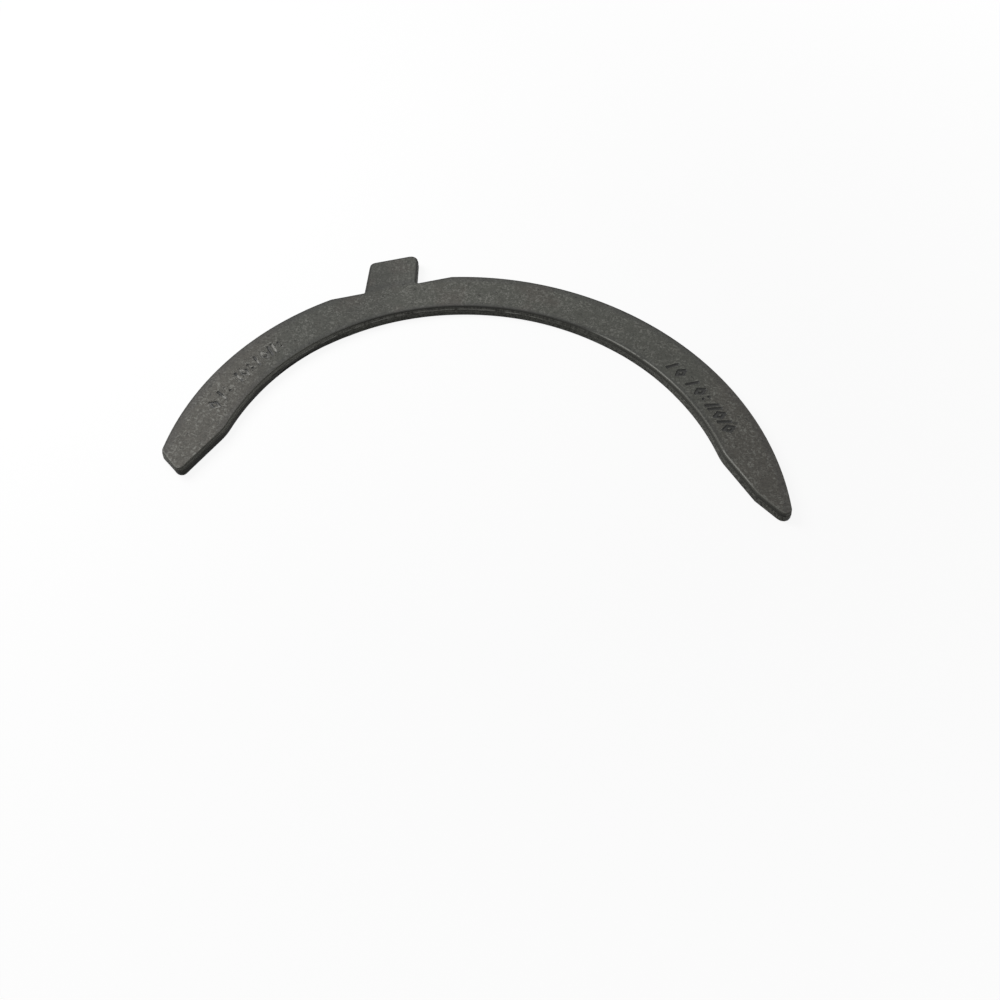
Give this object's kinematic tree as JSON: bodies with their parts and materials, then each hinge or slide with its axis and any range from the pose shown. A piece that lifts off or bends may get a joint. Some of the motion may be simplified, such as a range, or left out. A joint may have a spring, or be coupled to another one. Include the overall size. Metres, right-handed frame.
{
  "type": "thrust washer",
  "caption": "Flat half-ring thrust washer of dark coated steel, with a locating tab off its outer edge and slanting cut ends.",
  "frame": {"origin": "middle of the rectangle that just holds the washer's footprint, on its lower face; the shaft's axis passes through x -0.1 mm, y -40.9 mm", "axes": "+X along the parting line, between the two ends; +Y from the parting line to the crown and the tab; +Z through the thickness, out of the upper face"},
  "size_m": [0.1504, 0.0824, 0.0028],
  "materials": {
    "phosphated_steel": "dark dull phosphate coat, worn bright at a few edges"
  },
  "bodies": {
    "root": {"thrust_washer": "phosphated_steel"}
  },
  "joints": []
}
